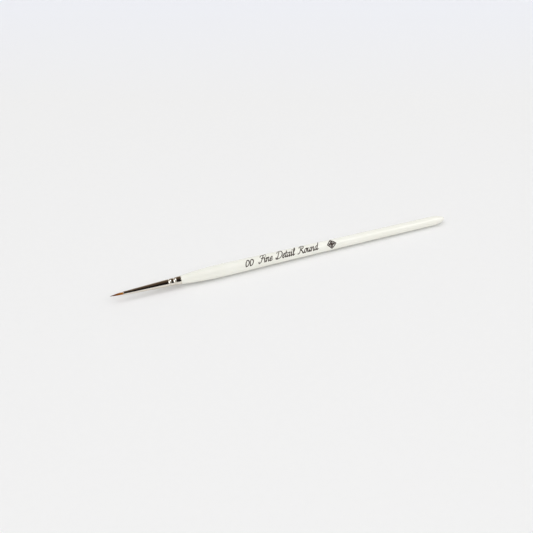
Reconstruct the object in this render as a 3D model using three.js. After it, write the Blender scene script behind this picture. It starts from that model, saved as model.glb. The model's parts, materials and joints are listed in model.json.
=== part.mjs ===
// A fine detail brush for miniature painting: a pointed round tuft of sable hair in a crimped metal ferrule,
// on a short turned wooden handle with a thick white lacquer. It lies on a table, tip towards -X.
//
// Lengths are millimetres. Every outline is a list of (radius, station) points, where a station is the distance
// from the tip of the hair along the brush's own axis, so one lathe turns every round piece.
// The finished brush is tilted by a fraction of a degree, because it rests on its belly and near its tail.

import * as THREE from "three";

// Driving dimensions.
const OVERALL = 180; // tip of the hair to the end of the handle
const HAIR_OUT = 6.8; // free length of the tuft, from its tip to the mouth of the ferrule
const HAIR_RADIUS = 0.56; // tuft at the mouth of the ferrule
const FERRULE_LENGTH = 28.4;
const FERRULE_MOUTH_RADIUS = 0.84;
const FERRULE_BACK_RADIUS = 2.06;
const FERRULE_TAPER_POWER = 0.85; // under 1, so the cone swells quickly behind its mouth
const FERRULE_WALL = 0.25;
const SHOULDER_RADIUS = 2.2; // handle just behind the ferrule
const BELLY_RADIUS = 3.3; // thickest part of the handle
const BELLY_STATION = 58;
const TAIL_RADIUS = 2.5; // handle where its rounded nose begins
const NOSE_LENGTH = 7.5;
const LAND = 3; // length of each of the two straight stretches that the handle rests on
const LACQUER = 0.2; // primer and several dipped coats
const CLEARANCE = 0.02; // between pieces that touch on the real brush

// Stations that follow from them.
const MOUTH = HAIR_OUT;
const FERRULE_END = MOUTH + FERRULE_LENGTH;
const HANDLE_FRONT = FERRULE_END + CLEARANCE;
const BELLY_FRONT = BELLY_STATION - LAND / 2;
const BELLY_BACK = BELLY_STATION + LAND / 2;
const NOSE_START = OVERALL - NOSE_LENGTH;

// The two rolled grooves that lock the ferrule on the tenon.
const GROOVES = { stations: [FERRULE_END - 5.65, FERRULE_END - 3.1], depth: 0.24, width: 0.42 };
const GROOVE_REACH = 0.9; // how far each side of its middle a groove can be felt

// What the ferrule hides.
const TENON_LENGTH = 11.8; // of the handle, inside the ferrule
const TENON_CHAMFER = 0.4;
const GLUE_FILM = 0.08; // between the tenon and the ferrule
const HAIR_SET_DEPTH = 9.2; // from the mouth of the ferrule to the root ends of the hair
const ROOT_RADIUS = HAIR_RADIUS + 0.02;
const ROOT_GAP = 0.45; // keeps the fixed hair clear of the round root of the free tuft
const TIE_DEPTH = 7.2; // from the mouth to the middle of the thread that ties the bundle
const TIE_TURNS = 5;
const THREAD_RADIUS = 0.06;
const THREAD_PITCH = 2 * THREAD_RADIUS + CLEARANCE;
const PINCH = { depth: 0.05, width: 0.8 }; // how the thread squeezes the bundle
const PLUG_DEPTHS = [6, 11.4]; // front and back of the adhesive that holds the roots

// The free hair bends about a point just outside the mouth, where it leaves the ferrule's grip.
const BEND_STATION = MOUTH - 0.35;

// How finely the solids are faceted. One flat facet of every round piece faces straight down.
const SEGMENTS = 24;
const FACET_FLAT = Math.cos(Math.PI / SEGMENTS); // distance of a facet from the axis, as a share of the radius

const MATERIALS = {
  lacquer: new THREE.MeshStandardMaterial({ color: 0xf1efe3, roughness: 0.22, metalness: 0 }),
  wood: new THREE.MeshStandardMaterial({ color: 0xd9b98a, roughness: 0.7, metalness: 0 }),
  nickel: new THREE.MeshStandardMaterial({ color: 0xc8c2bb, roughness: 0.16, metalness: 1 }),
  hair: new THREE.MeshStandardMaterial({ color: 0xa8641c, roughness: 0.5, metalness: 0 }),
  thread: new THREE.MeshStandardMaterial({ color: 0xe6dfcc, roughness: 0.85, metalness: 0 }),
  epoxy: new THREE.MeshStandardMaterial({ color: 0xc79a3c, roughness: 0.3, metalness: 0 }),
  woodGlue: new THREE.MeshStandardMaterial({ color: 0xe3d9b8, roughness: 0.45, metalness: 0 }),
};

const at = (station, radius) => new THREE.Vector2(radius, station);

// Evenly spaced stations, both ends included.
const spread = (from, to, count) =>
  Array.from({ length: count + 1 }, (_, i) => from + ((to - from) * i) / count);

// The height of a smooth bump of a given width, at a distance from its middle.
const bump = (distance, width) => Math.exp(-((distance / width) ** 2));

const grooveDepth = (station) =>
  GROOVES.stations.reduce((sum, middle) => sum + GROOVES.depth * bump(station - middle, GROOVES.width), 0);

// Outer radius of the ferrule: a swelling cone, less the grooves.
function ferruleRadius(station) {
  const along = THREE.MathUtils.clamp((station - MOUTH) / FERRULE_LENGTH, 0, 1);
  const swell = (FERRULE_BACK_RADIUS - FERRULE_MOUTH_RADIUS) * along ** FERRULE_TAPER_POWER;
  return FERRULE_MOUTH_RADIUS + swell - grooveDepth(station);
}

const boreRadius = (station) => ferruleRadius(station) - FERRULE_WALL;

// Radius of the glue film's two faces and of the tenon, each inside the last.
const filmOutside = (station) => boreRadius(station) - CLEARANCE;
const filmInside = (station) => filmOutside(station) - GLUE_FILM;
const tenonRadius = (station) => filmInside(station) - CLEARANCE;

// Stations close enough together to follow the grooves.
const grooveStations = GROOVES.stations.flatMap((middle) =>
  spread(middle - GROOVE_REACH, middle + GROOVE_REACH, 6),
);

// Radius of the straight line that the table draws along the underside, touching the belly and the tail.
const REST_SLOPE = (BELLY_RADIUS - TAIL_RADIUS) / (NOSE_START - BELLY_FRONT);
const restRadius = (station) => TAIL_RADIUS + REST_SLOPE * (NOSE_START - station);

// The handle's outline from its shoulder to the flat left where it was parted off the lathe. The swell ends and
// the body starts on the line of the table, and so do the body's end and the nose's start.
function handleOutline() {
  const shoulderEnd = at(HANDLE_FRONT + 0.5, SHOULDER_RADIUS);
  const shoulder = new THREE.QuadraticBezierCurve(
    at(HANDLE_FRONT, FERRULE_BACK_RADIUS + 0.04),
    at(HANDLE_FRONT, SHOULDER_RADIUS - 0.04),
    shoulderEnd,
  );
  const swell = new THREE.CubicBezierCurve(
    shoulderEnd,
    at(shoulderEnd.y + 6, SHOULDER_RADIUS + 0.5),
    at(BELLY_FRONT - 10, BELLY_RADIUS),
    at(BELLY_FRONT, restRadius(BELLY_FRONT)),
  );
  const body = new THREE.CubicBezierCurve(
    at(BELLY_BACK, restRadius(BELLY_BACK)),
    at(BELLY_BACK + 14, restRadius(BELLY_BACK + 14)),
    at(BELLY_BACK + 36, TAIL_RADIUS + 0.2),
    at(NOSE_START - LAND, restRadius(NOSE_START - LAND)),
  );
  const nose = new THREE.CubicBezierCurve(
    at(NOSE_START, TAIL_RADIUS),
    at(NOSE_START + 0.5 * NOSE_LENGTH, TAIL_RADIUS - 0.05),
    at(OVERALL, 0.55 * TAIL_RADIUS),
    at(OVERALL, 0.18 * TAIL_RADIUS),
  );
  return [
    ...shoulder.getPoints(3).slice(0, -1),
    ...swell.getPoints(7),
    ...body.getPoints(8),
    ...nose.getPoints(7),
    at(OVERALL, 0),
  ];
}

// The same outline moved inwards, square to its own surface, and never in front of the shoulder.
function inset(outline, depth) {
  return outline.map((point, i) => {
    const before = outline[Math.max(i - 1, 0)];
    const after = outline[Math.min(i + 1, outline.length - 1)];
    const run = after.clone().sub(before).normalize();
    const station = i === 0 ? point.y : Math.max(point.y + depth * run.x, HANDLE_FRONT);
    const radius = i === 0 ? point.x - depth : Math.max(point.x - depth * run.y, 0);
    return at(station, radius);
  });
}

// A round piece, turned about the brush's axis, which becomes +X.
function turned(name, outline, material) {
  const geometry = new THREE.LatheGeometry(outline, SEGMENTS, Math.PI / SEGMENTS);
  geometry.rotateZ(-Math.PI / 2);
  const mesh = new THREE.Mesh(geometry, material);
  mesh.name = name;
  return mesh;
}

// A ring-shaped outline: out along one face and back along the other.
const ring = (outside, inside) => [...outside, ...inside.slice().reverse(), outside[0].clone()];

function ferrule() {
  const lip = 0.07; // both ends are rounded over
  const cone = spread(MOUTH + lip, grooveStations[0] - 3, 6);
  const stations = [...cone, ...grooveStations, FERRULE_END - lip];
  const outside = [
    at(MOUTH, ferruleRadius(MOUTH) - lip),
    ...stations.map((s) => at(s, ferruleRadius(s))),
    at(FERRULE_END, ferruleRadius(FERRULE_END) - lip),
  ];
  const inside = [MOUTH, ...stations, FERRULE_END].map((s) => at(s, boreRadius(s)));
  return turned("ferrule", ring(outside, inside), MATERIALS.nickel);
}

const TENON_NOSE = FERRULE_END - TENON_LENGTH;

function handleGlue() {
  const stations = [TENON_NOSE + 1, ...grooveStations, FERRULE_END - 0.3];
  const outside = stations.map((s) => at(s, filmOutside(s)));
  const inside = stations.map((s) => at(s, filmInside(s)));
  return turned("handle_glue", ring(outside, inside), MATERIALS.woodGlue);
}

function handleCore(outline) {
  const stations = [TENON_NOSE + TENON_CHAMFER, TENON_NOSE + 1, ...grooveStations, HANDLE_FRONT + CLEARANCE];
  const tenon = [
    at(TENON_NOSE, 0),
    at(TENON_NOSE, tenonRadius(TENON_NOSE) - TENON_CHAMFER),
    ...stations.map((s) => at(s, tenonRadius(s))),
  ];
  const body = inset(outline, LACQUER + CLEARANCE);
  body[0].y += CLEARANCE;
  return turned("handle_core", [...tenon, ...body], MATERIALS.wood);
}

function lacquerCoat(outline) {
  return turned("lacquer_coat", ring(outline, inset(outline, LACQUER)), MATERIALS.lacquer);
}

// The part of the hair bundle that is set in the ferrule. The thread pinches it near its root ends.
function hairRoot() {
  const tie = MOUTH + TIE_DEPTH;
  const start = MOUTH + ROOT_GAP;
  const end = MOUTH + HAIR_SET_DEPTH;
  const radius = (s) => ROOT_RADIUS - PINCH.depth * bump(s - tie, PINCH.width);
  const stations = [start, ...spread(tie - 1.6, tie + 1.6, 6), end];
  const side = stations.map((s) => at(s, radius(s)));
  return turned("hair_root", [at(start, 0), ...side, at(end, 0)], MATERIALS.hair);
}

// The thread that ties the hair bundle, wound round it as a helix.
class TieCurve extends THREE.Curve {
  getPoint(t, target = new THREE.Vector3()) {
    const angle = 2 * Math.PI * TIE_TURNS * t;
    const radius = ROOT_RADIUS + CLEARANCE + THREAD_RADIUS;
    const station = MOUTH + TIE_DEPTH + THREAD_PITCH * TIE_TURNS * (t - 0.5);
    return target.set(station, radius * Math.cos(angle), radius * Math.sin(angle));
  }
}

function bindingThread() {
  const section = new THREE.Shape();
  section.absarc(0, 0, THREAD_RADIUS, 0, 2 * Math.PI);
  const geometry = new THREE.ExtrudeGeometry(section, {
    steps: 12 * TIE_TURNS,
    curveSegments: 3,
    extrudePath: new TieCurve(),
  });
  const mesh = new THREE.Mesh(geometry, MATERIALS.thread);
  mesh.name = "binding_thread";
  return mesh;
}

// The adhesive that holds the roots: a cup round the tied bundle, with a solid end behind it.
function settingGlue() {
  const [front, back] = PLUG_DEPTHS.map((depth) => MOUTH + depth);
  const cavityRadius = ROOT_RADIUS + 2 * (THREAD_RADIUS + 2 * CLEARANCE);
  const cavityEnd = MOUTH + HAIR_SET_DEPTH + CLEARANCE;
  const outline = [
    at(cavityEnd, 0),
    at(cavityEnd, cavityRadius),
    at(front, cavityRadius),
    ...spread(front, back, 3).map((s) => at(s, filmOutside(s))),
    at(back, 0),
  ];
  return turned("setting_glue", outline, MATERIALS.epoxy);
}

// The free hair: a slim cone with a slight belly, drawn to a point. The ball at its root lets it bend in the
// mouth of the ferrule without touching it.
function tuft() {
  const side = new THREE.CubicBezierCurve(
    at(0.05, 0.02),
    at(BEND_STATION * 0.34, HAIR_RADIUS * 0.46),
    at(BEND_STATION * 0.68, HAIR_RADIUS * 1.02),
    at(BEND_STATION, HAIR_RADIUS),
  );
  const ball = spread(Math.PI / 2, 0, 4)
    .slice(1)
    .map((angle) => at(BEND_STATION + HAIR_RADIUS * Math.cos(angle), HAIR_RADIUS * Math.sin(angle)));
  return turned("tuft", [at(0, 0), ...side.getPoints(10), ...ball], MATERIALS.hair);
}

const outline = handleOutline();
const brush = new THREE.Group();
brush.add(
  tuft(),
  hairRoot(),
  bindingThread(),
  settingGlue(),
  ferrule(),
  handleGlue(),
  handleCore(outline),
  lacquerCoat(outline),
);
brush.rotation.y = Math.atan(REST_SLOPE * FACET_FLAT);

// The origin is on the table, under the middle of the brush.
const box = new THREE.Box3().setFromObject(brush, true);
brush.position.set(-(box.min.x + box.max.x) / 2, 0, -box.min.z);

const part = new THREE.Group();
part.add(brush);

export default part;
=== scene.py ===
"""A fine detail brush on a pale studio floor: the looks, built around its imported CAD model.

Every length is in metres, in the row's frame. All the pieces are turned about one axis, so most of this
script works in the brush's own coordinates: a station, which is the distance from the tip of the hair along
the axis, a radius, and a turn round the axis, which is 0 level towards the front (-Y) and a quarter turn at
the top.
"""

import json
import math
import random

import bpy
import numpy as np
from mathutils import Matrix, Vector
from mathutils.geometry import convex_hull_2d, delaunay_2d_cdt


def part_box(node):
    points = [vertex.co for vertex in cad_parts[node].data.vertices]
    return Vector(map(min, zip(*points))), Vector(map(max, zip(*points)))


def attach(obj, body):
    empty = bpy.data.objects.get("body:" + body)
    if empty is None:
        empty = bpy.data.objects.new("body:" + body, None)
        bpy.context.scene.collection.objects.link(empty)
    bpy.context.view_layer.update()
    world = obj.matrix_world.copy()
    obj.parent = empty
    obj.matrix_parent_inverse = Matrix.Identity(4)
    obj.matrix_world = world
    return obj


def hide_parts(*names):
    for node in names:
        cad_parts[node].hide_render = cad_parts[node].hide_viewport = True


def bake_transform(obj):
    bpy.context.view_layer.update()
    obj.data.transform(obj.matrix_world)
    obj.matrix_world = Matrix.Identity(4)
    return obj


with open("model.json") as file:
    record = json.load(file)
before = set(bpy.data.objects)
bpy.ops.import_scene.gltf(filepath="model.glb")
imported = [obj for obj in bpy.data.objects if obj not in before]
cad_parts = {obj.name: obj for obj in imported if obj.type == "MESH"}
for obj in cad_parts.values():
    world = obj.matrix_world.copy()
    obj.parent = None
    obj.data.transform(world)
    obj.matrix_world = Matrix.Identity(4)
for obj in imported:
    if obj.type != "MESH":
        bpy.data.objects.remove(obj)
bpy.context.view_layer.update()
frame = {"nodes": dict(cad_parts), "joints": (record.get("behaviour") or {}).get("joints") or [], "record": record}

MM = 0.001
FULL_TURN = 2 * math.pi
AXIS_RADIUS = 1e-6  # nearer to the axis than this counts as on it
SAME_POINT = 1e-9  # two points nearer than this count as one
END_FACE = 0.05  # a face that leans less outwards than this belongs to an end
SHOWN_SIDES, INNER_SIDES = 96, 64  # of the round pieces that show and of those inside

# The camera, as it stood over the brush: looking a little in front of its middle, from its tip's side.
LOOK_AT = Vector((-10.83, -1.13, 0)) * MM
CAMERA_AZIMUTH = math.radians(-22.9)
CAMERA_ELEVATION = math.radians(35)
CAMERA_DISTANCE = 509.3 * MM
SENSOR_WIDTH = 36  # mm
LENS = 70  # mm

# The light that comes from all round, and the colour beyond the edge of the floor.
DOME_LIGHT = (0.52, 0.52, 0.52)
BACKDROP = (0.875, 0.88, 0.905)
LIGHTS_AWAY = 3.6  # from the brush

# The printed marks: where they stand, from the tip of the hair, and the turn of the line they stand on.
MARK_TURN = math.radians(35)
SIZE_MARK_START = 67.2 * MM
WORDS_START = 74.6 * MM
ORNAMENT_MIDDLE = 114.1 * MM
INK_RAISED = 0.012 * MM
INK_SUNK = 0.03 * MM  # into the lacquer, so that no gap shows under the ink

# The hair.
HAIRS = 230
HAIR_SEED = 11
HAIR_RADIUS = 0.036 * MM  # of one hair at its thickest
HAIR_TIP_SHARE = 0.22  # of that radius, at the tip
HAIR_TAPER = 5 * MM  # the length over which it thins
HAIR_SIDES = 6
ROOT_RINGS, FREE_RINGS = 8, 28  # of each hair, in the ferrule and out of it
GRIP = 0.3 * MM  # how far inside the mouth the free rings begin
HAIR_RINGS = ROOT_RINGS + FREE_RINGS
HAIR_ARCH = 0.13 * MM  # how far the free hair bows upwards between the ferrule and its tip
HAIR_BELLY = 0.16  # how much fuller it is halfway, as a share of its radius there
SHORTEST = 2.7 * MM  # how far behind the tip the outermost hairs may end
BEND_START = 0.1 * MM  # how far inside the mouth a span on the axis starts; the hair is not bent there
BEND_LENGTH = 2 * MM  # how far in front of the mouth that span ends
GOLDEN_ANGLE = math.pi * (3 - math.sqrt(5))

FULL_RECESS = 0.25 * MM  # how deep a groove in the ferrule is where its browner, darker colour is at its strongest

# The body that the pieces ride on.
BRUSH = "brush"


# --------------------------------------------------------------------------------------------------
# The brush's own coordinates, from the CAD model
# --------------------------------------------------------------------------------------------------


def corners(node):
    """The different corners of a CAD node, as an array of points."""
    found = {tuple(round(x, 8) for x in vertex.co) for vertex in frame["nodes"][node].data.vertices}
    return np.array(sorted(found))


TIP = Vector(corners("tuft")[0])
AXIS = (Vector(corners("lacquer_coat").mean(0)) - TIP).normalized()
SIDE = Vector((0, 0, 1)).cross(AXIS).normalized()
TOP = AXIS.cross(SIDE)


def place(station, radius, turn):
    """Points in the row's frame from arrays in the brush's coordinates."""
    station, radius, turn = np.broadcast_arrays(station, radius, turn)
    outwards = np.sin(turn)[..., None] * np.array(TOP) - np.cos(turn)[..., None] * np.array(SIDE)
    return np.array(TIP) + station[..., None] * np.array(AXIS) + radius[..., None] * outwards


def outline(node, facing=1):
    """(station, radius) of the corners of a node's outer surface, or with facing -1 its inner one."""
    mesh = frame["nodes"][node].data
    rings = {}
    for face in mesh.polygons:
        from_tip = face.center - TIP
        outwards = (from_tip - from_tip.dot(AXIS) * AXIS).normalized()
        if facing * face.normal.dot(outwards) < END_FACE:
            continue
        for index in face.vertices:
            from_tip = mesh.vertices[index].co - TIP
            station = from_tip.dot(AXIS)
            radius = (from_tip - station * AXIS).length
            rings.setdefault(round(station / MM, 3), []).append((station, radius))
    return np.array([np.mean(rings[key], axis=0) for key in sorted(rings)])


def table_share():
    """The CAD's facets meet the table at their middles, which are this share of the corners' radius."""
    rest = next(m for m in frame["record"]["mounts"] if m["name"] == "belly_rest")
    from_tip = Vector(rest["pos_m"]) - TIP
    station = from_tip.dot(AXIS)
    return (from_tip - station * AXIS).length / np.interp(station, *outline("lacquer_coat").T)


ROUND_SHARE = table_share()


def round_outline(node, facing=1):
    return outline(node, facing) * (1, ROUND_SHARE)


FERRULE, BORE = round_outline("ferrule"), round_outline("ferrule", facing=-1)
COAT, COAT_INSIDE = round_outline("lacquer_coat"), round_outline("lacquer_coat", facing=-1)
MOUTH = FERRULE[0, 0]
HINGE = (Vector(frame["joints"][0]["pos_m"]) - TIP).dot(AXIS)


def between(points, starts, ends, t):
    """Each point mixed with the next one, by where t lies between a start and an end."""
    pairs = zip(points, points[1:], starts, ends)
    return [((end - t) * here + (t - start) * there) / (end - start) for here, there, start, end in pairs]


def smooth_curve(points, step, closed=False):
    """The points joined by a centripetal Catmull-Rom curve, in steps of about the given length."""
    points = np.array(points, float)
    if closed:
        knots = np.vstack([points[-1:], points, points[:2]])
    else:
        knots = np.vstack([2 * points[0] - points[1], points, 2 * points[-1] - points[-2]])
    made = []
    for four in zip(knots, knots[1:], knots[2:], knots[3:]):
        gaps = [math.sqrt(max(np.linalg.norm(b - a), SAME_POINT)) for a, b in zip(four, four[1:])]
        t0, t1, t2, t3 = np.cumsum([0, *gaps])
        cuts = int(np.clip(math.ceil(np.linalg.norm(four[2] - four[1]) / step), 2, 24))
        t = np.linspace(t1, t2, cuts, endpoint=False)[:, None]
        a = between(four, (t0, t1, t2), (t1, t2, t3), t)
        b = between(a, (t0, t1), (t2, t3), t)
        made.append(between(b, (t1,), (t2,), t)[0])
    if not closed:
        made.append(points[-1:])
    return np.vstack(made)


# --------------------------------------------------------------------------------------------------
# Meshes
# --------------------------------------------------------------------------------------------------


def piece(name, vertices, faces, material, body=BRUSH):
    """A smooth-shaded mesh object that rides on a body."""
    mesh = bpy.data.meshes.new(name)
    mesh.from_pydata([tuple(v) for v in vertices], [], faces)
    mesh.validate()
    mesh.shade_smooth()
    mesh.materials.append(material)
    obj = bpy.data.objects.new(name, mesh)
    bpy.context.scene.collection.objects.link(obj)
    if body:
        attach(obj, body)
    return obj


def give(obj, attribute, values):
    """One number for each vertex, for the material to read."""
    obj.data.attributes.new(attribute, "FLOAT", "POINT").data.foreach_set("value", np.ravel(values))


def tube_faces(rings, sides):
    """Faces of an open tube made of rings of vertices."""
    return [
        (
            ring * sides + side,
            (ring + 1) * sides + side,
            (ring + 1) * sides + (side + 1) % sides,
            ring * sides + (side + 1) % sides,
        )
        for ring in range(rings - 1)
        for side in range(sides)
    ]


def turned(name, profile, material, sides=SHOWN_SIDES, closed=False):
    """A turned piece, from points (station, radius). A point on the axis becomes one vertex."""
    turns = np.linspace(0, FULL_TURN, sides, endpoint=False)
    vertices, rings = [], []
    for station, radius in profile:
        count = 1 if radius < AXIS_RADIUS else sides
        rings.append([len(vertices) + side % count for side in range(sides)])
        vertices += list(place(station, radius, turns[:count]))
    faces = []
    for here, there in zip(rings, rings[1:] + rings[:1] if closed else rings[1:]):
        for side in range(sides):
            after = (side + 1) % sides
            face = list(dict.fromkeys([here[side], there[side], there[after], here[after]]))
            if len(face) > 2:
                faces.append(face)
    return piece(name, vertices, faces, material)


# --------------------------------------------------------------------------------------------------
# Materials
# --------------------------------------------------------------------------------------------------


def mixed(tree, share, first, second, blend="MIX"):
    """A node in the tree that mixes two colours. Each input is a value or another node's output."""
    made = tree.nodes.new("ShaderNodeMix")
    made.data_type, made.blend_type = "RGBA", blend
    for socket, value in zip((made.inputs[0], made.inputs[6], made.inputs[7]), (share, first, second)):
        if isinstance(value, bpy.types.NodeSocket):
            tree.links.new(value, socket)
        else:
            socket.default_value = (*value, 1) if isinstance(value, tuple) else value
    return made.outputs[2]


def set_stops(colour_ramp, stops):
    """Gives a colour ramp its (position, (r, g, b)) stops."""
    while len(colour_ramp.elements) < len(stops):
        colour_ramp.elements.new(0.5)
    for element, (position, colour) in zip(colour_ramp.elements, stops):
        element.position = position
        element.color = (*colour, 1)


class Surface:
    """A Principled material, and calls that add nodes. An input is a value or another node's output."""

    def __init__(self, name, **constants):
        self.material = bpy.data.materials.new(name)
        self.material.use_nodes = True
        self.tree = self.material.node_tree
        self.shader = self.tree.nodes["Principled BSDF"]
        self.feed(self.shader, {key.replace("_", " "): value for key, value in constants.items()})
        self.place = self.node("ShaderNodeTexCoord").outputs["Object"]

    def feed(self, node, inputs):
        for key, value in inputs.items():
            if isinstance(value, bpy.types.NodeSocket):
                self.tree.links.new(value, node.inputs[key])
            else:
                node.inputs[key].default_value = value

    def node(self, kind, inputs=None, **settings):
        made = self.tree.nodes.new(kind)
        for key, value in settings.items():
            setattr(made, key, value)
        self.feed(made, inputs or {})
        return made

    def stretched(self, scale):
        """The object's coordinates times a scale along each axis. The brush lies along X."""
        return self.node("ShaderNodeMapping", {"Vector": self.place, "Scale": scale}).outputs["Vector"]

    def noise(self, scale, detail=2.0, roughness=0.5, where=None):
        inputs = {"Vector": where or self.place, "Scale": scale, "Detail": detail, "Roughness": roughness}
        return self.node("ShaderNodeTexNoise", inputs).outputs["Fac"]

    def attribute(self, name):
        return self.node("ShaderNodeAttribute", attribute_name=name).outputs["Fac"]

    def math(self, operation, *values):
        return self.node("ShaderNodeMath", dict(enumerate(values)), operation=operation).outputs["Value"]

    def ranged(self, value, low, high, to_low=0.0, to_high=1.0):
        inputs = {"Value": value, "From Min": low, "From Max": high, "To Min": to_low, "To Max": to_high}
        return self.node("ShaderNodeMapRange", inputs).outputs["Result"]

    def ramp(self, value, *stops):
        """A colour for each value, from (position, (r, g, b)) stops."""
        made = self.node("ShaderNodeValToRGB", {"Fac": value})
        set_stops(made.color_ramp, stops)
        return made.outputs["Color"]

    def mix(self, share, first, second, blend="MIX"):
        return mixed(self.tree, share, first, second, blend)

    def bump(self, height, distance, under=None):
        inputs = {"Height": height, "Distance": distance}
        if under:
            inputs["Normal"] = under
        return self.node("ShaderNodeBump", inputs).outputs["Normal"]

    def done(self, **links):
        self.feed(self.shader, {key.replace("_", " "): value for key, value in links.items()})
        return self.material


def lacquer():
    """Thick dipped ivory lacquer: glossy and cloudy, with faint orange peel and a few specks of dust."""
    s = Surface("ivory_lacquer", Coat_Weight=0.5, Coat_Roughness=0.05, Specular_IOR_Level=0.5)
    clouds = s.noise(90, detail=3)
    colour = s.ramp(clouds, (0.3, (0.866, 0.862, 0.782)), (0.7, (0.889, 0.886, 0.818)))
    specks = s.node("ShaderNodeTexVoronoi", {"Vector": s.place, "Scale": 330.0}).outputs["Distance"]
    dust = s.ranged(specks, 0.035, 0.05, 0.35, 0.0)
    colour = s.mix(dust, colour, (0.62, 0.58, 0.46))
    peel = s.bump(s.noise(620, detail=2), 0.012 * MM)
    fine = s.bump(s.noise(5200, detail=1), 0.0006 * MM, under=peel)
    roughness = s.ranged(s.noise(400, detail=4), 0.3, 0.7, 0.08, 0.14)
    return s.done(Base_Color=colour, Roughness=roughness, Normal=fine)


def nickel():
    """Polished nickel plate over drawn brass: fine lines round the cone, and a browner, darker colour in the
    grooves.
    """
    s = Surface("polished_nickel", Metallic=1.0)
    lines = s.noise(1.0, detail=5, roughness=0.65, where=s.stretched((16000, 260, 260)))
    smears = s.noise(1.0, detail=3, where=s.stretched((180, 900, 900)))
    colour = s.ramp(smears, (0.3, (0.76, 0.715, 0.64)), (0.7, (0.83, 0.785, 0.71)))
    recess = s.attribute("recess")
    # Browner and darker the deeper a point lies in a groove.
    colour = s.mix(s.ranged(recess, 0.0, 1.0, 0.0, 0.25), colour, (0.5, 0.43, 0.34))
    smeared, drawn = s.ranged(smears, 0.25, 0.75, 0.07, 0.13), s.ranged(lines, 0.3, 0.7, 0.0, 0.04)
    roughness = s.math("ADD", smeared, drawn)
    return s.done(Base_Color=colour, Roughness=roughness, Normal=s.bump(lines, 0.0012 * MM))


def sable():
    """Natural hair: golden at the ferrule, brown, then dark at the tip. Each hair has its own tone."""
    s = Surface("sable_hair", Specular_IOR_Level=0.2)
    along, tone = s.attribute("along"), s.attribute("tone")
    shifted = s.math("ADD", along, s.ranged(tone, 0.0, 1.0, -0.1, 0.1))
    colour = s.ramp(
        shifted,
        (0.0, (0.045, 0.03, 0.032)),
        (0.25, (0.085, 0.034, 0.012)),
        (0.5, (0.24, 0.075, 0.002)),
        (1.0, (0.4, 0.17, 0.002)),
    )
    colour = s.mix(s.ranged(tone, 0.0, 1.0, 0.0, 0.45), colour, (0.68, 0.4, 0.06), "OVERLAY")
    streaks = s.noise(1.0, detail=3, where=s.stretched((900, 22000, 22000)))
    roughness = s.ranged(streaks, 0.3, 0.7, 0.28, 0.48)
    return s.done(Base_Color=colour, Roughness=roughness, Normal=s.bump(streaks, 0.002 * MM))


def birch():
    """Bare turned birch: pale, with fine grain along the handle."""
    s = Surface("bare_birch", Specular_IOR_Level=0.3)
    grain = s.noise(1.0, detail=6, roughness=0.6, where=s.stretched((40, 1900, 1900)))
    rings = s.node(
        "ShaderNodeTexWave",
        {"Vector": s.stretched((6, 300, 120)), "Scale": 1.0, "Distortion": 3.0, "Detail": 2.0},
    ).outputs["Fac"]
    colour = s.ramp(grain, (0.3, (0.5, 0.33, 0.17)), (0.7, (0.74, 0.56, 0.34)))
    colour = s.mix(s.ranged(rings, 0.0, 1.0, 0.0, 0.4), colour, (0.55, 0.36, 0.19))
    roughness = s.ranged(grain, 0.3, 0.7, 0.75, 0.55)
    return s.done(Base_Color=colour, Roughness=roughness, Normal=s.bump(grain, 0.02 * MM))


def waxed_thread():
    """Cream thread, waxed, darker brown in the valleys between its plies."""
    s = Surface("waxed_thread", Sheen_Weight=0.3, Specular_IOR_Level=0.35)
    fibres = s.noise(42000, detail=4, roughness=0.7)
    colour = s.ramp(fibres, (0.3, (0.52, 0.44, 0.3)), (0.7, (0.84, 0.78, 0.63)))
    # Darker brown in the valleys between the plies.
    colour = s.mix(s.attribute("valley"), colour, (0.36, 0.27, 0.15))
    roughness = s.ranged(fibres, 0.3, 0.7, 0.6, 0.85)
    return s.done(Base_Color=colour, Roughness=roughness, Normal=s.bump(fibres, 0.004 * MM))


def amber_resin():
    """Set epoxy: clear amber with small bubbles."""
    s = Surface("amber_resin", Transmission_Weight=0.35, IOR=1.55)
    bubbles = s.node("ShaderNodeTexVoronoi", {"Vector": s.place, "Scale": 3200.0}).outputs["Distance"]
    rim = s.ranged(bubbles, 0.1, 0.28, 1.0, 0.0)
    depth = s.ramp(s.noise(700, detail=3), (0.3, (0.4, 0.19, 0.03)), (0.7, (0.62, 0.36, 0.08)))
    colour = s.mix(rim, depth, (0.8, 0.62, 0.32))
    roughness = s.ranged(rim, 0.0, 1.0, 0.12, 0.35)
    return s.done(Base_Color=colour, Roughness=roughness, Normal=s.bump(rim, 0.01 * MM))


def dried_glue():
    """Dried wood glue: a wavy, cloudy yellow film."""
    s = Surface("dried_glue", Subsurface_Weight=0.2, Subsurface_Scale=0.0005)
    clouds = s.noise(900, detail=4, roughness=0.6)
    colour = s.ramp(clouds, (0.3, (0.66, 0.56, 0.33)), (0.7, (0.83, 0.77, 0.58)))
    roughness = s.ranged(clouds, 0.3, 0.7, 0.35, 0.6)
    return s.done(Base_Color=colour, Roughness=roughness, Normal=s.bump(clouds, 0.02 * MM))


def brown_ink():
    """Pad-printed dark brown ink, a little mottled where it lies thin."""
    s = Surface("brown_ink", Specular_IOR_Level=0.4)
    mottle = s.noise(7000, detail=4, roughness=0.65)
    colour = s.ramp(mottle, (0.3, (0.022, 0.013, 0.011)), (0.75, (0.075, 0.048, 0.038)))
    roughness = s.ranged(mottle, 0.3, 0.7, 0.3, 0.5)
    return s.done(Base_Color=colour, Roughness=roughness, Normal=s.bump(mottle, 0.004 * MM))


# --------------------------------------------------------------------------------------------------
# The handle and the ferrule
# --------------------------------------------------------------------------------------------------


def to_axis(profile):
    """The profile with a point on the axis after its last one."""
    return np.vstack([profile, (profile[-1, 0], 0)])


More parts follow.
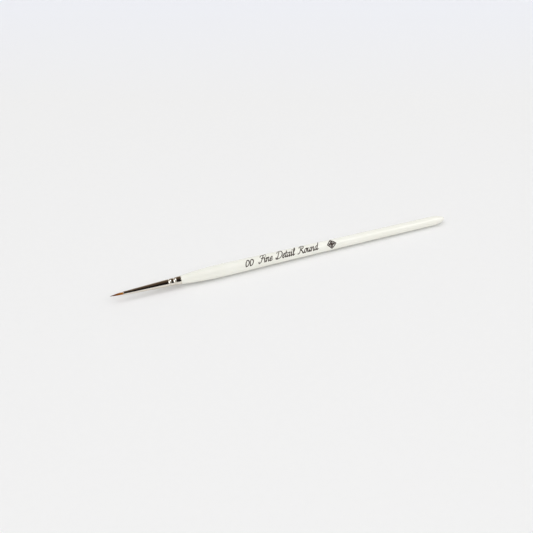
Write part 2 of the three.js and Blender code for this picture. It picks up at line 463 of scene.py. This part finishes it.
def make_handle():
    """The lacquer coat, the wood in it, and the glue round its tenon. Returns the outline of the coat."""
    outside = smooth_curve(to_axis(COAT), step=1.5 * MM)
    inside = smooth_curve(to_axis(COAT_INSIDE), step=3 * MM)
    coat = turned("lacquer_shell", np.vstack([outside, inside[::-1]]), lacquer(), closed=True)
    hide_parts("lacquer_coat")
    wood = to_axis(round_outline("handle_core"))
    core_profile = np.vstack([(wood[0, 0], 0), smooth_curve(wood, step=3 * MM)])
    core = turned("turned_handle", core_profile, birch(), sides=INNER_SIDES)
    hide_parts("handle_core")
    film = [smooth_curve(round_outline("handle_glue", facing), step=0.2 * MM) for facing in (1, -1)]
    loop = np.vstack([film[0], film[1][::-1]])
    glue = turned("tenon_glue", loop, dried_glue(), sides=INNER_SIDES, closed=True)
    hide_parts("handle_glue")
    return outside


def make_ferrule():
    """The metal cone, with how deep each point lies in a groove, for the darker colour there."""
    loop = smooth_curve(np.vstack([FERRULE, BORE[::-1]]), step=0.12 * MM, closed=True)
    shell = turned("ferrule_shell", loop, nickel(), closed=True)
    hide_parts("ferrule")
    depths = np.maximum.accumulate(FERRULE[:, 1]) - FERRULE[:, 1]
    recess = np.interp(loop[:, 0], FERRULE[:, 0], depths) / FULL_RECESS
    give(shell, "recess", np.repeat(np.clip(recess, 0, 1), SHOWN_SIDES))


def make_plug():
    """The adhesive that holds the roots: a cup round the tied bundle, closed behind it."""
    outside, cup = round_outline("setting_glue"), round_outline("setting_glue", facing=-1)
    profile = np.vstack([(cup[-1, 0], 0), cup[::-1], outside, (outside[-1, 0], 0)])
    plug = turned("root_resin", profile, amber_resin(), sides=INNER_SIDES)
    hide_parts("setting_glue")


# --------------------------------------------------------------------------------------------------
# The hair and the thread that ties it
# --------------------------------------------------------------------------------------------------


def bundle_radius():
    """(station, radius) of the whole bundle of hair, free and fixed, without the ball behind the hinge."""
    free, fixed = round_outline("tuft"), round_outline("hair_root")
    return np.vstack([free[free[:, 0] <= HINGE + 0.01 * MM], fixed])


def hair_path(rng, share, turn, ends, bundle):
    """One hair, straying a little: its stations, the points of its middle, and its own radius there."""
    root, tip = ends
    held = np.linspace(root, MOUTH + GRIP, ROOT_RINGS, endpoint=False)
    stations = np.concatenate([held, np.linspace(MOUTH + GRIP, tip, FREE_RINGS)])
    taper = np.clip((stations - tip) / HAIR_TAPER, 0, 1) ** 0.75
    own_radius = HAIR_RADIUS * (HAIR_TIP_SHARE + (1 - HAIR_TIP_SHARE) * taper)
    own_radius *= rng.uniform(0.85, 1.12)
    free = np.clip((MOUTH - stations) / MOUTH, 0, 1)
    room = np.interp(stations, *bundle.T) * (1 + HAIR_BELLY * np.sin(math.pi * free)) - own_radius
    wander = rng.uniform(-0.1, 0.1) * np.sin(free * rng.uniform(2.0, 5.0))
    radii = np.maximum(room, 0) * np.clip(share * (1 + wander * 0.5), 0, 1)
    turns = turn + wander * 2 + rng.uniform(-0.25, 0.25) * free
    arch = HAIR_ARCH * np.sin(math.pi * free**0.6)
    return stations, place(stations, radii, turns) + arch[:, None] * np.array(TOP), own_radius


def make_hair():
    """All the hairs, each a fine tapered tube from its set root to its own tip. The tips form a point."""
    rng = random.Random(HAIR_SEED)
    bundle = bundle_radius()
    root_end = bundle[-1, 0]
    ring = np.linspace(0, FULL_TURN, HAIR_SIDES, endpoint=False)
    circle = np.cos(ring)[:, None] * np.array(TOP) + np.sin(ring)[:, None] * np.array(SIDE)
    vertices, faces, along, tone = [], [], [], []
    for index in range(HAIRS):
        share = math.sqrt((index + 0.5) / HAIRS)
        shorter = share**1.6 * rng.uniform(0.1, 1.0) * SHORTEST
        ends = (root_end - rng.uniform(0, 0.3) * MM, shorter + rng.uniform(0, 0.12) * MM)
        stations, middles, own_radius = hair_path(rng, share, index * GOLDEN_ANGLE, ends, bundle)
        tube = middles[:, None, :] + own_radius[:, None, None] * circle[None, :, :]
        start = len(vertices)
        vertices += list(tube.reshape(-1, 3))
        faces += [tuple(start + i for i in face) for face in tube_faces(HAIR_RINGS, HAIR_SIDES)]
        last = start + (HAIR_RINGS - 1) * HAIR_SIDES
        faces.append(tuple(range(start, start + HAIR_SIDES))[::-1])
        faces.append(tuple(range(last, last + HAIR_SIDES)))
        along += list(np.repeat(np.clip(stations / MOUTH, 0, 1), HAIR_SIDES))
        tone += [rng.random()] * (HAIR_RINGS * HAIR_SIDES)
    hair = piece("sable_tuft", vertices, faces, sable(), body=None)
    give(hair, "along", along)
    give(hair, "tone", tone)
    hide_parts("tuft", "hair_root")
    start, end = place(MOUTH + BEND_START, 0.0, 0.0), place(MOUTH - BEND_LENGTH, 0.0, 0.0)
    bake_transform(hair)


def make_thread():
    """Five turns of twisted thread round the roots, as a lobed section wound along a helix."""
    low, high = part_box("binding_thread")
    middle = ((low + high) / 2 - TIP).dot(AXIS)
    from_tip = corners("binding_thread") - np.array(TIP)
    outer = np.linalg.norm(np.cross(from_tip, np.array(AXIS)), axis=1).max()
    width, turns, pitch = 0.12 * MM, 5, 0.14 * MM
    plies, twists = 3, 7  # the twists are those in one turn
    steps, sides = 260, 18
    t = np.linspace(0, 1, steps)
    angle = FULL_TURN * turns * t
    station = middle + pitch * turns * (t - 0.5)
    twist = angle * twists
    around = np.linspace(0, FULL_TURN, sides, endpoint=False)
    lobes = np.abs(np.cos(plies / 2 * (around[None, :] + twist[:, None])))
    section = width / 2 * (0.78 + 0.22 * lobes)
    radius = outer - width / 2 + section * np.cos(around)[None, :]
    along = station[:, None] + section * np.sin(around)[None, :]
    vertices = place(along, radius, angle[:, None]).reshape(-1, 3)
    faces = [face[::-1] for face in tube_faces(steps, sides)]
    faces += [tuple(range(sides)), tuple(range((steps - 1) * sides, steps * sides))[::-1]]
    thread = piece("tying_thread", vertices, faces, waxed_thread())
    give(thread, "valley", (1 - lobes) ** 2)
    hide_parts("binding_thread")


# --------------------------------------------------------------------------------------------------
# The printed marks: a size number, generic wording and a plain ornament, drawn with a broad-nibbed pen
# --------------------------------------------------------------------------------------------------

# Each letter is its strokes and how far the next letter stands from it. A stroke is the points the pen goes
# through, upright, with small letters 1 high and capitals 2. The writing is slanted afterwards.
LETTERS = {
    "i": ([[(0, 0.7), (0.12, 1), (0.18, 0.3), (0.3, 0), (0.5, 0.25)], [(0.2, 1.4), (0.24, 1.5)]], 0.52),
    "n": (
        [
            [(0, 0.75), (0.12, 1), (0.16, 0.75), (0.14, 0)],
            [(0.15, 0.4), (0.38, 0.9), (0.6, 0.95), (0.66, 0.3), (0.78, 0), (1, 0.25)],
        ],
        1.0,
    ),
    "e": (
        [[(0.1, 0.42), (0.45, 0.6), (0.48, 0.95), (0.2, 0.85), (0.08, 0.3), (0.3, 0), (0.68, 0.28)]],
        0.68,
    ),
    "t": ([[(0.24, 1.55), (0.18, 0.4), (0.3, 0), (0.55, 0.25)], [(-0.05, 1), (0.5, 1.05)]], 0.56),
    "a": (
        [
            [(0.62, 0.9), (0.35, 0.98), (0.08, 0.55), (0.12, 0.05), (0.38, 0.12), (0.62, 0.7)],
            [(0.66, 1), (0.62, 0.3), (0.72, 0), (0.95, 0.25)],
        ],
        0.95,
    ),
    "l": ([[(0.1, 0.5), (0.38, 1.4), (0.3, 2), (0.14, 1.5), (0.15, 0.3), (0.28, 0), (0.52, 0.25)]], 0.54),
    "o": ([[(0.42, 1), (0.12, 0.75), (0.1, 0.2), (0.38, 0.02), (0.62, 0.5), (0.42, 1), (0.8, 0.85)]], 0.8),
    "u": (
        [
            [(0, 0.72), (0.12, 1), (0.14, 0.3), (0.3, 0), (0.64, 0.6)],
            [(0.7, 1), (0.66, 0.25), (0.76, 0), (1, 0.25)],
        ],
        0.98,
    ),
    "d": (
        [
            [(0.6, 0.9), (0.35, 0.98), (0.08, 0.55), (0.12, 0.05), (0.38, 0.12), (0.62, 0.7)],
            [(0.74, 2), (0.66, 1), (0.62, 0.25), (0.74, 0), (0.96, 0.25)],
        ],
        0.98,
    ),
    "F": (
        [
            [(0.8, 1.8), (0.6, 0.9), (0.35, 0.1), (0, -0.05), (-0.15, 0.25)],
            [(0, 1.45), (0.15, 1.85), (0.7, 1.9), (1.35, 2.05)],
            [(0.35, 1), (0.7, 1), (1.05, 1.12)],
        ],
        1.15,
    ),
    "D": (
        [
            [(0.55, 1.8), (0.42, 0.9), (0.25, 0.1)],
            [(0, 1.45), (0.2, 1.9), (0.9, 1.98), (1.42, 1.3), (1.2, 0.35), (0.55, 0)]
            + [(0, 0.1), (-0.1, 0.35)],
        ],
        1.6,
    ),
    "R": (
        [
            [(0.55, 1.8), (0.42, 0.9), (0.2, 0.1), (-0.1, 0.05)],
            [(0, 1.45), (0.2, 1.9), (0.85, 2), (1.15, 1.55), (0.85, 1.1), (0.5, 1)]
            + [(0.95, 0.5), (1.35, 0), (1.6, 0.15)],
        ],
        1.5,
    ),
    "0": (
        [[(0.95, 1.6), (0.45, 2), (0.05, 1), (0.4, 0), (0.9, 0.25), (1.12, 1.1), (0.95, 1.6), (0.8, 1.8)]],
        1.42,
    ),
    " ": ([], 1.0),
}
SLANT = math.tan(math.radians(24))
NIB_ANGLE = math.radians(38)
PEN_STEP = 0.22 * MM  # between the places where the pen is put down along a stroke
CUT_STEP = 0.25 * MM  # between the lines that let the ink bend round the handle


def nib(width, thickness, sides=10):
    """The corners of a flat pen's rounded edge, held at a steady angle."""
    long = Vector((math.cos(NIB_ANGLE), math.sin(NIB_ANGLE))) * width / 2
    short = Vector((-math.sin(NIB_ANGLE), math.cos(NIB_ANGLE))) * thickness / 2
    turns = [FULL_TURN * side / sides for side in range(sides)]
    return [math.cos(turn) * long + math.sin(turn) * short for turn in turns]


def written(words, size, baseline):
    """Strokes of slanted writing, with small letters of the given size, on a line at the given height."""
    strokes, start = [], 0.0
    for letter in words:
        shapes, advance = LETTERS[letter]
        for shape in shapes:
            strokes.append([((start + x + SLANT * y) * size, y * size + baseline) for x, y in shape])
        start += advance
    return strokes


def ornament(size, middle):
    """A plain four-petalled rosette in a lozenge, with its middle at the given height."""
    strokes = []
    for quarter in range(4):
        turn = FULL_TURN * quarter / 4
        petal = [(0.1, 0), (0.32, 0.16), (0.62, 0), (0.32, -0.16), (0.1, 0)]
        strokes.append([rotated(point, turn) for point in petal])
    diamond = [rotated((1, 0), FULL_TURN * corner / 4) for corner in range(5)]
    strokes += [[a, ((a[0] + b[0]) / 2, (a[1] + b[1]) / 2), b] for a, b in zip(diamond, diamond[1:])]
    return [[(x * size, y * size + middle) for x, y in stroke] for stroke in strokes]


def rotated(point, turn):
    x, y = point
    return (x * math.cos(turn) - y * math.sin(turn), x * math.sin(turn) + y * math.cos(turn))


def inked(strokes, pen):
    """Corners and triangles of the flat area that the pen covers, cut by lines so that it can bend."""
    points, hulls = [], []
    for stroke in strokes:
        path = [Vector(p) for p in smooth_curve(stroke, PEN_STEP)]
        for here, there in zip(path, path[1:]):
            cloud = [p + corner for p in (here, there) for corner in pen]
            hull = [cloud[i] for i in convex_hull_2d(cloud)]
            hulls.append(list(range(len(points), len(points) + len(hull))))
            points += hull
    left, right = min(p.x for p in points), max(p.x for p in points)
    bottom, top = min(p.y for p in points), max(p.y for p in points)
    edges = []
    for height in np.arange(bottom, top, CUT_STEP):
        edges.append((len(points), len(points) + 1))
        points += [Vector((left - MM, height)), Vector((right + MM, height))]
    scaled, fill_all, tolerance = [p / MM for p in points], 0, 1e-5
    found, _, triangles, _, _, sources = delaunay_2d_cdt(scaled, edges, hulls, fill_all, tolerance)
    covered = [triangle for triangle, source in zip(triangles, sources) if source]
    return np.array([tuple(p) for p in found]) * MM, covered


def make_mark(name, strokes, pen, start, surface, material):
    """A thin layer of ink wrapped on the handle: its top, its bottom just inside the lacquer, its edge."""
    flat, triangles = inked(strokes, pen)
    used = sorted({i for triangle in triangles for i in triangle})
    renumbered = {old: new for new, old in enumerate(used)}
    flat = flat[used]
    triangles = [tuple(renumbered[i] for i in triangle) for triangle in triangles]
    stations = start + flat[:, 0]
    radii = np.interp(stations, *surface.T)
    turns = MARK_TURN + flat[:, 1] / radii
    layers = [place(stations, radii + lift, turns) for lift in (INK_RAISED, -INK_SUNK)]
    count = len(flat)
    edges = {(a, b) for t in triangles for a, b in zip(t, t[1:] + t[:1])}
    rim = [(a, b) for a, b in edges if (b, a) not in edges]
    faces = triangles + [tuple(count + i for i in t[::-1]) for t in triangles]
    faces += [(b, a, count + a, count + b) for a, b in rim]
    mark = piece(name, np.vstack(layers), faces, material)
    mark.data.shade_flat()
    return mark


def make_marks(surface):
    ink = brown_ink()
    numbers = written("00", size=1.55 * MM, baseline=-0.95 * MM)
    make_mark("size_number", numbers, nib(0.64 * MM, 0.42 * MM), SIZE_MARK_START, surface, ink)
    words = written("Fine Detail Round", size=2.05 * MM, baseline=-0.75 * MM)
    make_mark("style_wording", words, nib(0.68 * MM, 0.36 * MM), WORDS_START, surface, ink)
    lozenge = ornament(2.3 * MM, middle=0.4 * MM)
    make_mark("lozenge_rosette", lozenge, nib(0.6 * MM, 0.5 * MM), ORNAMENT_MIDDLE, surface, ink)


# --------------------------------------------------------------------------------------------------
# The studio
# --------------------------------------------------------------------------------------------------


def towards(azimuth, elevation):
    """The direction from the object to something that stands at an azimuth and elevation."""
    level = math.cos(elevation)
    return Vector((math.sin(azimuth) * level, -math.cos(azimuth) * level, math.sin(elevation)))


def make_camera():
    data = bpy.data.cameras.new("camera")
    data.lens = LENS
    data.sensor_width = SENSOR_WIDTH
    data.clip_start, data.clip_end = 0.01, 20
    camera = bpy.data.objects.new("camera", data)
    away = towards(CAMERA_AZIMUTH, CAMERA_ELEVATION)
    camera.location = LOOK_AT + away * CAMERA_DISTANCE
    camera.rotation_euler = (-away).to_track_quat("-Z", "Y").to_euler()
    bpy.context.scene.collection.objects.link(camera)
    bpy.context.scene.camera = camera


def make_floor():
    """A wide pale sheet, very slightly bluer far behind the brush."""
    mesh = bpy.data.meshes.new("floor")
    half = 3.0
    sheet = [(-half, -half, 0), (half, -half, 0), (half, half, 0), (-half, half, 0)]
    mesh.from_pydata(sheet, [], [(0, 1, 2, 3)])
    s = Surface("pale_floor", Roughness=0.9, Specular_IOR_Level=0.1)
    grain = s.noise(300, detail=3)
    colour = s.ramp(grain, (0.3, (0.838, 0.836, 0.835)), (0.7, (0.844, 0.842, 0.841)))
    away = {0: s.place, 1: -towards(CAMERA_AZIMUTH, 0)}
    behind = s.node("ShaderNodeVectorMath", away, operation="DOT_PRODUCT")
    colour = s.mix(s.ranged(behind.outputs["Value"], 0.18, 0.34), colour, (0.842, 0.852, 0.892))
    mesh.materials.append(s.done(Base_Color=colour))
    floor = bpy.data.objects.new("floor", mesh)
    bpy.context.scene.collection.objects.link(floor)


class Room:
    """The world's nodes. Rays of each kind see their own light: the camera, gloss and everything else."""

    def __init__(self):
        world = bpy.data.worlds.new("room")
        bpy.context.scene.world = world
        world.use_nodes = True
        self.tree = world.node_tree
        self.background = self.tree.nodes["Background"]
        self.seen = self.tree.nodes.new("ShaderNodeTexCoord").outputs["Generated"]
        self.path = self.tree.nodes.new("ShaderNodeLightPath")

    def across(self, direction, stops):
        """Colours by how far a ray points along a direction: 0 is straight against it, 1 straight along."""
        dot = self.tree.nodes.new("ShaderNodeVectorMath")
        dot.operation = "DOT_PRODUCT"
        self.tree.links.new(self.seen, dot.inputs[0])
        dot.inputs[1].default_value = direction
        share = self.tree.nodes.new("ShaderNodeMapRange")
        share.inputs["From Min"].default_value = -1
        self.tree.links.new(dot.outputs["Value"], share.inputs["Value"])
        ramp = self.tree.nodes.new("ShaderNodeValToRGB")
        self.tree.links.new(share.outputs["Result"], ramp.inputs["Fac"])
        set_stops(ramp.color_ramp, stops)
        return ramp.outputs["Color"]

    def mix(self, share, first, second, blend="MIX"):
        return mixed(self.tree, share, first, second, blend)


def make_room():
    """Soft white light from all round. Gloss sees a dim brown room with a white wall at each end."""
    room = Room()
    front_to_back = [
        (0.0, (0.9, 0.9, 0.9)),
        (0.03, (0.8, 0.78, 0.75)),
        (0.09, (0.16, 0.115, 0.085)),
        (0.4, (0.1, 0.067, 0.046)),
        (0.62, (0.045, 0.03, 0.021)),
        (0.74, (0.01, 0.006, 0.005)),
        (1.0, (0.006, 0.004, 0.004)),
    ]
    dim, white = (0.5, 0.48, 0.45), (1.0, 1.0, 1.0)
    dark, grey = (0.0, 0.0, 0.0), (0.85, 0.85, 0.85)
    side_to_side = [(0.0, grey), (0.34, grey), (0.42, dark), (0.665, dark), (0.7, white), (1.0, white)]
    wall_stripe = [(0.0, dim), (0.5, dim), (0.64, white), (0.72, white), (0.84, dim), (1.0, dim)]
    depth = room.across(towards(CAMERA_AZIMUTH, 0), front_to_back)
    walls = room.across(AXIS, side_to_side)
    stripe = room.across(towards(CAMERA_AZIMUTH, 0), wall_stripe)
    walls = room.mix(1.0, walls, stripe, "MULTIPLY")
    glossy = room.mix(1.0, depth, walls, "LIGHTEN")
    light = room.mix(room.path.outputs["Is Glossy Ray"], DOME_LIGHT, glossy)
    seen = room.mix(room.path.outputs["Is Camera Ray"], light, BACKDROP)
    room.tree.links.new(seen, room.background.inputs["Color"])
    room.background.inputs["Strength"].default_value = 1.0


def make_lights():
    """Softboxes at the left and at the right, which also show in gloss, and two fills that do not."""
    for name, azimuth, elevation, width, height, power, shows in (
        ("left_softbox", -105, 58, 2.1, 2.1, 23.6, True),
        ("right_softbox", 66, 37, 2.7, 2.7, 31.4, True),
        ("front_fill", -15, 43, 5.0, 1.8, 40.3, False),
        ("back_fill", 180, 72, 3.6, 3.0, 17.5, False),
    ):
        data = bpy.data.lights.new(name, "AREA")
        data.shape = "RECTANGLE"
        data.size, data.size_y = width, height
        data.energy = power
        light = bpy.data.objects.new(name, data)
        direction = towards(math.radians(azimuth), math.radians(elevation))
        light.location = direction * LIGHTS_AWAY
        light.rotation_euler = direction.to_track_quat("Z", "Y").to_euler()
        light.visible_glossy = shows
        bpy.context.scene.collection.objects.link(light)


def make_studio():
    make_camera()
    make_floor()
    make_room()
    make_lights()
    bpy.context.scene.view_settings.view_transform = "Standard"


make_studio()
handle_surface = make_handle()
make_ferrule()
make_plug()
make_hair()
make_thread()
make_marks(handle_surface)
